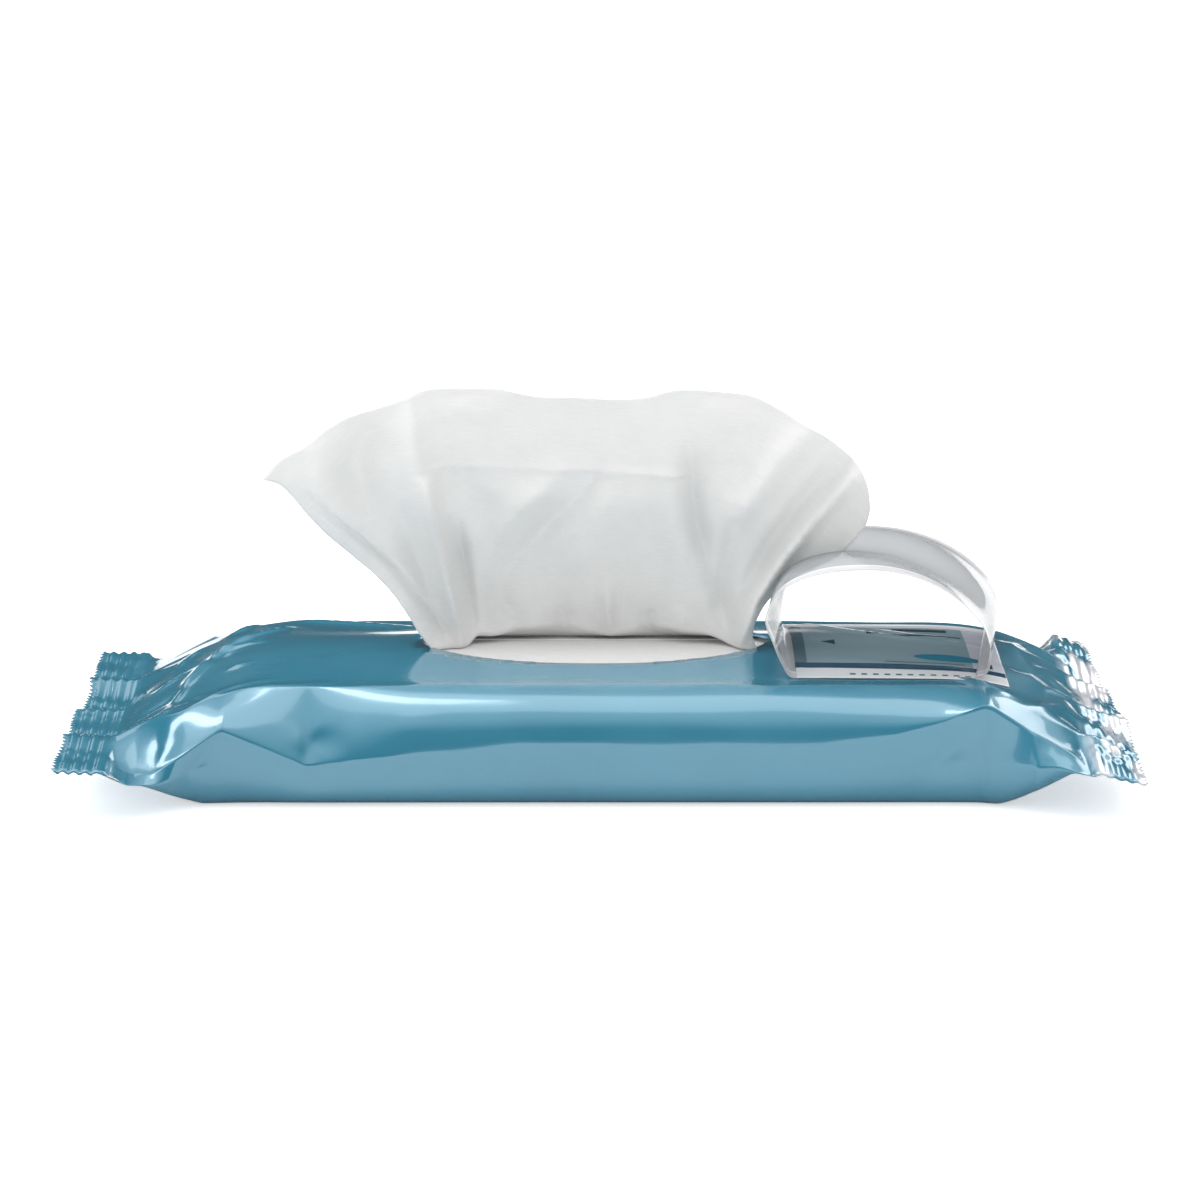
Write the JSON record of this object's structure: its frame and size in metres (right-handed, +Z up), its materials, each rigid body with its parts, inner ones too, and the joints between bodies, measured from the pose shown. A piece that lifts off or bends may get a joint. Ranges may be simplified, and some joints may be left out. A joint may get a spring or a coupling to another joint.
{
  "type": "wet wipes pack",
  "caption": "Opened soft film pack of moist cleaning wipes: one wipe pulled up through the oval opening, the clear reseal label peeled back and rolled over",
  "frame": {"origin": "on the underside, below the middle of the pack", "axes": "+X from the left end seal to the right one, +Y from front to back, +Z up out of the opening"},
  "size_m": [0.266, 0.1178, 0.094],
  "materials": {
    "film": "metallised teal packaging film, satin to glossy, with soft creases",
    "label": "clear glossy label film with plain printed fields",
    "cloth": "moist white nonwoven cloth, matt, slightly translucent"
  },
  "bodies": {
    "root": {"film_wrapper": "film", "reseal_label": "label", "raised_wipe": "cloth", "wipe_02": "cloth", "wipe_03": "cloth", "wipe_04": "cloth", "wipe_05": "cloth", "wipe_06": "cloth", "wipe_07": "cloth", "wipe_08": "cloth", "wipe_09": "cloth", "wipe_10": "cloth", "wipe_11": "cloth", "wipe_12": "cloth", "wipe_13": "cloth", "wipe_14": "cloth", "wipe_15": "cloth", "wipe_16": "cloth", "wipe_17": "cloth", "wipe_18": "cloth", "wipe_19": "cloth", "wipe_20": "cloth", "wipe_21": "cloth", "wipe_22": "cloth", "wipe_23": "cloth", "wipe_24": "cloth", "wipe_25": "cloth", "wipe_26": "cloth", "wipe_27": "cloth", "wipe_28": "cloth", "wipe_29": "cloth", "wipe_30": "cloth", "wipe_31": "cloth", "wipe_32": "cloth", "wipe_33": "cloth", "wipe_34": "cloth", "wipe_35": "cloth", "wipe_36": "cloth", "wipe_37": "cloth", "wipe_38": "cloth", "wipe_39": "cloth", "wipe_40": "cloth"}
  },
  "joints": []
}
